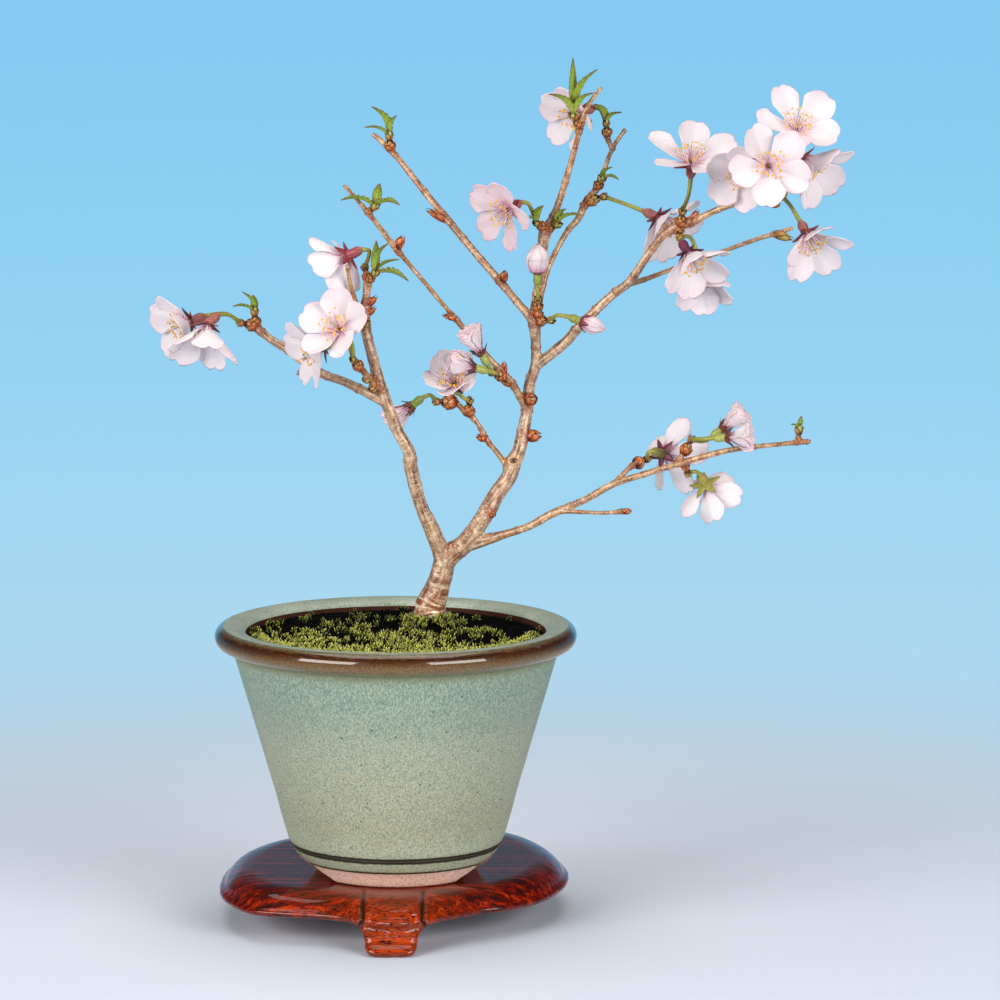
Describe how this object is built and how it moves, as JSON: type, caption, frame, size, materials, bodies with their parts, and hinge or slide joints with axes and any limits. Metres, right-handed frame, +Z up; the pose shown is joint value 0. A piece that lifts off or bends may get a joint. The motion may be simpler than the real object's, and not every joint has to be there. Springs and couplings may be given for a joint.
{
  "type": "cherry blossom bonsai",
  "caption": "Young cherry tree in blossom, trained as a bonsai, in a glazed round pot with a rolled rim on a low carved wooden stand.",
  "frame": {"origin": "on the surface the stand rests on, under the middle of the whole object's outline seen from above", "axes": "+Z up, the front towards -Y, +X to the right seen from the front"},
  "size_m": [0.2342, 0.1462, 0.2902],
  "materials": {
    "wood_lacquer": "glossy red-brown lacquered hardwood",
    "glaze": "glazed stoneware: speckled grey-green celadon with a dark iron-brown rim, unglazed sandy foot",
    "bark": "smooth tan cherry bark with lenticels",
    "soil": "moist dark soil with moss",
    "mesh": "black plastic drainage mesh",
    "petal": "thin white petals flushed with pink",
    "stalk": "soft red-brown and green stalks and calyces",
    "leaf": "soft young leaves"
  },
  "bodies": {
    "root": {"stand": "wood_lacquer", "pot": "glaze", "tree_wood": "bark", "soil": "soil", "drainage_mesh": "mesh", "bloom_01": "petal", "bloom_02": "petal", "bloom_03": "petal", "bloom_04": "petal", "bloom_05": "petal", "bloom_06": "petal", "bloom_07": "petal", "bloom_08": "petal", "bloom_09": "petal", "bloom_10": "petal", "bloom_11": "petal", "bloom_12": "petal", "bloom_13": "petal", "bloom_14": "petal", "bloom_15": "petal", "bloom_16": "petal", "bloom_17": "petal", "bloom_18": "petal", "bloom_19": "petal", "bloom_20": "petal", "bloom_21": "petal", "bloom_22": "petal", "bloom_23": "petal", "bloom_24": "petal", "bloom_25": "petal", "bloom_26": "petal", "stalks_left_tip": "stalk", "stalks_left_top": "stalk", "stalks_left_front": "stalk", "stalks_centre_low": "stalk", "stalks_centre_left": "stalk", "stalks_upper_mid": "stalk", "stalks_top_right": "stalk", "stalks_top_node": "stalk", "stalks_node_right": "stalk", "stalks_right_upper": "stalk", "stalks_right_end": "stalk", "stalks_mid_right": "stalk", "stalks_right_lower": "stalk", "stalks_low_spur": "stalk", "stalks_low_upper": "stalk", "stalks_low_under": "stalk", "stalks_low_left": "stalk", "leaves_top_left": "leaf", "leaves_left_twig": "leaf", "leaves_left_spur": "leaf", "leaves_left_tip": "leaf", "leaves_top": "leaf", "leaves_upper_mid": "leaf", "leaves_top_right_low": "leaf", "leaves_low_tip": "leaf"}
  },
  "joints": []
}
